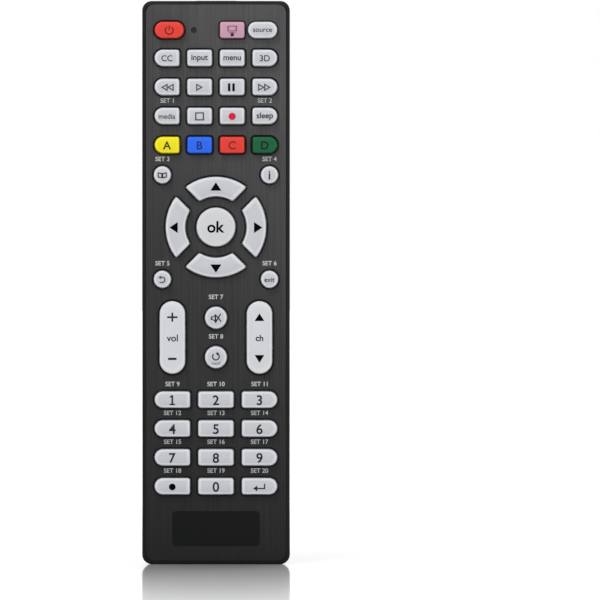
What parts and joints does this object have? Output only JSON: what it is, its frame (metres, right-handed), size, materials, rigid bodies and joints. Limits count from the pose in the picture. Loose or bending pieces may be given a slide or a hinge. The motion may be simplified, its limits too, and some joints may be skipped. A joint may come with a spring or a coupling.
{
  "type": "universal remote control",
  "caption": "Slim hand-held remote control with a brushed face, separate sprung keys, two rocker keys, a navigation ring and a hinged battery door on a deep back bulge.",
  "frame": {"origin": "middle of the case's box, on the plane that its bottom end stands on", "axes": "+Z along the length towards the infrared end, -Y out of the key face, +X to the right of the face"},
  "size_m": [0.049, 0.0206, 0.187],
  "materials": {
    "shell": "fine moulded ABS, satin",
    "face": "dark anodised, brushed along the length",
    "mat": "moulded silicone",
    "board": "solder resist over glass epoxy",
    "chip": "moulded epoxy",
    "ceramic": "glazed ceramic",
    "lamp": "clear red epoxy",
    "emitter": "tinted epoxy",
    "window": "polished dark acrylic",
    "cell": "printed sleeve",
    "contact": "nickel plated",
    "screw": "zinc plated",
    "key_grey": "satin silver paint under clear lacquer",
    "key_pale": "satin pale silver paint",
    "key_power_red": "satin red",
    "key_pink": "satin pink",
    "key_yellow": "satin yellow",
    "key_blue": "satin blue",
    "key_red": "satin red",
    "key_green": "satin green"
  },
  "bodies": {
    "case": {"front_shell": "shell", "face_plate": "face", "back_shell": "shell", "keypad_mat": "mat", "circuit_board": "board", "controller_chip": "chip", "resonator": "ceramic", "capacitor": "ceramic", "indicator_lamp": "lamp", "ir_emitter": "emitter", "ir_window": "window", "battery_cells": "cell", "battery_springs": "contact", "battery_contacts": "contact", "case_screw": "screw"},
    "battery_door": {"battery_door": "shell"},
    "key_power": {"key_power": "key_power_red"},
    "key_set": {"key_set": "key_pink"},
    "key_source": {"key_source": "key_grey"},
    "key_cc": {"key_cc": "key_grey"},
    "key_input": {"key_input": "key_grey"},
    "key_menu": {"key_menu": "key_grey"},
    "key_3d": {"key_3d": "key_grey"},
    "key_rewind": {"key_rewind": "key_grey"},
    "key_play": {"key_play": "key_grey"},
    "key_pause": {"key_pause": "key_grey"},
    "key_forward": {"key_forward": "key_grey"},
    "key_media": {"key_media": "key_grey"},
    "key_stop": {"key_stop": "key_grey"},
    "key_record": {"key_record": "key_grey"},
    "key_sleep": {"key_sleep": "key_grey"},
    "key_yellow": {"key_yellow": "key_yellow"},
    "key_blue": {"key_blue": "key_blue"},
    "key_red": {"key_red": "key_red"},
    "key_green": {"key_green": "key_green"},
    "key_guide": {"key_guide": "key_grey"},
    "key_info": {"key_info": "key_grey"},
    "key_back": {"key_back": "key_grey"},
    "key_exit": {"key_exit": "key_grey"},
    "key_ok": {"key_ok": "key_pale"},
    "key_mute": {"key_mute": "key_grey"},
    "key_recall": {"key_recall": "key_grey"},
    "key_up": {"key_up": "key_grey"},
    "key_left": {"key_left": "key_grey"},
    "key_down": {"key_down": "key_grey"},
    "key_right": {"key_right": "key_grey"},
    "key_1": {"key_1": "key_grey"},
    "key_2": {"key_2": "key_grey"},
    "key_3": {"key_3": "key_grey"},
    "key_4": {"key_4": "key_grey"},
    "key_5": {"key_5": "key_grey"},
    "key_6": {"key_6": "key_grey"},
    "key_7": {"key_7": "key_grey"},
    "key_8": {"key_8": "key_grey"},
    "key_9": {"key_9": "key_grey"},
    "key_dot": {"key_dot": "key_grey"},
    "key_0": {"key_0": "key_grey"},
    "key_enter": {"key_enter": "key_grey"},
    "key_volume": {"key_volume": "key_grey"},
    "key_channel": {"key_channel": "key_grey"}
  },
  "joints": [
    {"name": "battery_door_hinge", "type": "hinge", "parent": "case", "child": "battery_door", "pos_m": [0, 0.00915, 0.011], "axis": [-1, 0, 0], "range_deg": [0, 80]},
    {"name": "power_press", "type": "slide", "parent": "case", "child": "key_power", "axis": [0, 1, 0], "range_m": [0, 0.0008], "stiffness_N_per_m": 1500},
    {"name": "set_press", "type": "slide", "parent": "case", "child": "key_set", "axis": [0, 1, 0], "range_m": [0, 0.0008], "stiffness_N_per_m": 1500},
    {"name": "source_press", "type": "slide", "parent": "case", "child": "key_source", "axis": [0, 1, 0], "range_m": [0, 0.0008], "stiffness_N_per_m": 1500},
    {"name": "cc_press", "type": "slide", "parent": "case", "child": "key_cc", "axis": [0, 1, 0], "range_m": [0, 0.0008], "stiffness_N_per_m": 1500},
    {"name": "input_press", "type": "slide", "parent": "case", "child": "key_input", "axis": [0, 1, 0], "range_m": [0, 0.0008], "stiffness_N_per_m": 1500},
    {"name": "menu_press", "type": "slide", "parent": "case", "child": "key_menu", "axis": [0, 1, 0], "range_m": [0, 0.0008], "stiffness_N_per_m": 1500},
    {"name": "3d_press", "type": "slide", "parent": "case", "child": "key_3d", "axis": [0, 1, 0], "range_m": [0, 0.0008], "stiffness_N_per_m": 1500},
    {"name": "rewind_press", "type": "slide", "parent": "case", "child": "key_rewind", "axis": [0, 1, 0], "range_m": [0, 0.0008], "stiffness_N_per_m": 1500},
    {"name": "play_press", "type": "slide", "parent": "case", "child": "key_play", "axis": [0, 1, 0], "range_m": [0, 0.0008], "stiffness_N_per_m": 1500},
    {"name": "pause_press", "type": "slide", "parent": "case", "child": "key_pause", "axis": [0, 1, 0], "range_m": [0, 0.0008], "stiffness_N_per_m": 1500},
    {"name": "forward_press", "type": "slide", "parent": "case", "child": "key_forward", "axis": [0, 1, 0], "range_m": [0, 0.0008], "stiffness_N_per_m": 1500},
    {"name": "media_press", "type": "slide", "parent": "case", "child": "key_media", "axis": [0, 1, 0], "range_m": [0, 0.0008], "stiffness_N_per_m": 1500},
    {"name": "stop_press", "type": "slide", "parent": "case", "child": "key_stop", "axis": [0, 1, 0], "range_m": [0, 0.0008], "stiffness_N_per_m": 1500},
    {"name": "record_press", "type": "slide", "parent": "case", "child": "key_record", "axis": [0, 1, 0], "range_m": [0, 0.0008], "stiffness_N_per_m": 1500},
    {"name": "sleep_press", "type": "slide", "parent": "case", "child": "key_sleep", "axis": [0, 1, 0], "range_m": [0, 0.0008], "stiffness_N_per_m": 1500},
    {"name": "yellow_press", "type": "slide", "parent": "case", "child": "key_yellow", "axis": [0, 1, 0], "range_m": [0, 0.0008], "stiffness_N_per_m": 1500},
    {"name": "blue_press", "type": "slide", "parent": "case", "child": "key_blue", "axis": [0, 1, 0], "range_m": [0, 0.0008], "stiffness_N_per_m": 1500},
    {"name": "red_press", "type": "slide", "parent": "case", "child": "key_red", "axis": [0, 1, 0], "range_m": [0, 0.0008], "stiffness_N_per_m": 1500},
    {"name": "green_press", "type": "slide", "parent": "case", "child": "key_green", "axis": [0, 1, 0], "range_m": [0, 0.0008], "stiffness_N_per_m": 1500},
    {"name": "guide_press", "type": "slide", "parent": "case", "child": "key_guide", "axis": [0, 1, 0], "range_m": [0, 0.0008], "stiffness_N_per_m": 1500},
    {"name": "info_press", "type": "slide", "parent": "case", "child": "key_info", "axis": [0, 1, 0], "range_m": [0, 0.0008], "stiffness_N_per_m": 1500},
    {"name": "back_press", "type": "slide", "parent": "case", "child": "key_back", "axis": [0, 1, 0], "range_m": [0, 0.0008], "stiffness_N_per_m": 1500},
    {"name": "exit_press", "type": "slide", "parent": "case", "child": "key_exit", "axis": [0, 1, 0], "range_m": [0, 0.0008], "stiffness_N_per_m": 1500},
    {"name": "ok_press", "type": "slide", "parent": "case", "child": "key_ok", "axis": [0, 1, 0], "range_m": [0, 0.0008], "stiffness_N_per_m": 1500},
    {"name": "mute_press", "type": "slide", "parent": "case", "child": "key_mute", "axis": [0, 1, 0], "range_m": [0, 0.0008], "stiffness_N_per_m": 1500},
    {"name": "recall_press", "type": "slide", "parent": "case", "child": "key_recall", "axis": [0, 1, 0], "range_m": [0, 0.0008], "stiffness_N_per_m": 1500},
    {"name": "up_press", "type": "slide", "parent": "case", "child": "key_up", "axis": [0, 1, 0], "range_m": [0, 0.0008], "stiffness_N_per_m": 1500},
    {"name": "left_press", "type": "slide", "parent": "case", "child": "key_left", "axis": [0, 1, 0], "range_m": [0, 0.0008], "stiffness_N_per_m": 1500},
    {"name": "down_press", "type": "slide", "parent": "case", "child": "key_down", "axis": [0, 1, 0], "range_m": [0, 0.0008], "stiffness_N_per_m": 1500},
    {"name": "right_press", "type": "slide", "parent": "case", "child": "key_right", "axis": [0, 1, 0], "range_m": [0, 0.0008], "stiffness_N_per_m": 1500},
    {"name": "1_press", "type": "slide", "parent": "case", "child": "key_1", "axis": [0, 1, 0], "range_m": [0, 0.0008], "stiffness_N_per_m": 1500},
    {"name": "2_press", "type": "slide", "parent": "case", "child": "key_2", "axis": [0, 1, 0], "range_m": [0, 0.0008], "stiffness_N_per_m": 1500},
    {"name": "3_press", "type": "slide", "parent": "case", "child": "key_3", "axis": [0, 1, 0], "range_m": [0, 0.0008], "stiffness_N_per_m": 1500},
    {"name": "4_press", "type": "slide", "parent": "case", "child": "key_4", "axis": [0, 1, 0], "range_m": [0, 0.0008], "stiffness_N_per_m": 1500},
    {"name": "5_press", "type": "slide", "parent": "case", "child": "key_5", "axis": [0, 1, 0], "range_m": [0, 0.0008], "stiffness_N_per_m": 1500},
    {"name": "6_press", "type": "slide", "parent": "case", "child": "key_6", "axis": [0, 1, 0], "range_m": [0, 0.0008], "stiffness_N_per_m": 1500},
    {"name": "7_press", "type": "slide", "parent": "case", "child": "key_7", "axis": [0, 1, 0], "range_m": [0, 0.0008], "stiffness_N_per_m": 1500},
    {"name": "8_press", "type": "slide", "parent": "case", "child": "key_8", "axis": [0, 1, 0], "range_m": [0, 0.0008], "stiffness_N_per_m": 1500},
    {"name": "9_press", "type": "slide", "parent": "case", "child": "key_9", "axis": [0, 1, 0], "range_m": [0, 0.0008], "stiffness_N_per_m": 1500},
    {"name": "dot_press", "type": "slide", "parent": "case", "child": "key_dot", "axis": [0, 1, 0], "range_m": [0, 0.0008], "stiffness_N_per_m": 1500},
    {"name": "0_press", "type": "slide", "parent": "case", "child": "key_0", "axis": [0, 1, 0], "range_m": [0, 0.0008], "stiffness_N_per_m": 1500},
    {"name": "enter_press", "type": "slide", "parent": "case", "child": "key_enter", "axis": [0, 1, 0], "range_m": [0, 0.0008], "stiffness_N_per_m": 1500},
    {"name": "volume_rock", "type": "hinge", "parent": "case", "child": "key_volume", "pos_m": [-0.01443, -0.00695, 0.0753], "axis": [1, 0, 0], "range_deg": [-3, 3], "stiffness_Nm_per_rad": 0.23},
    {"name": "channel_rock", "type": "hinge", "parent": "case", "child": "key_channel", "pos_m": [0.01443, -0.00695, 0.0753], "axis": [1, 0, 0], "range_deg": [-3, 3], "stiffness_Nm_per_rad": 0.23}
  ]
}
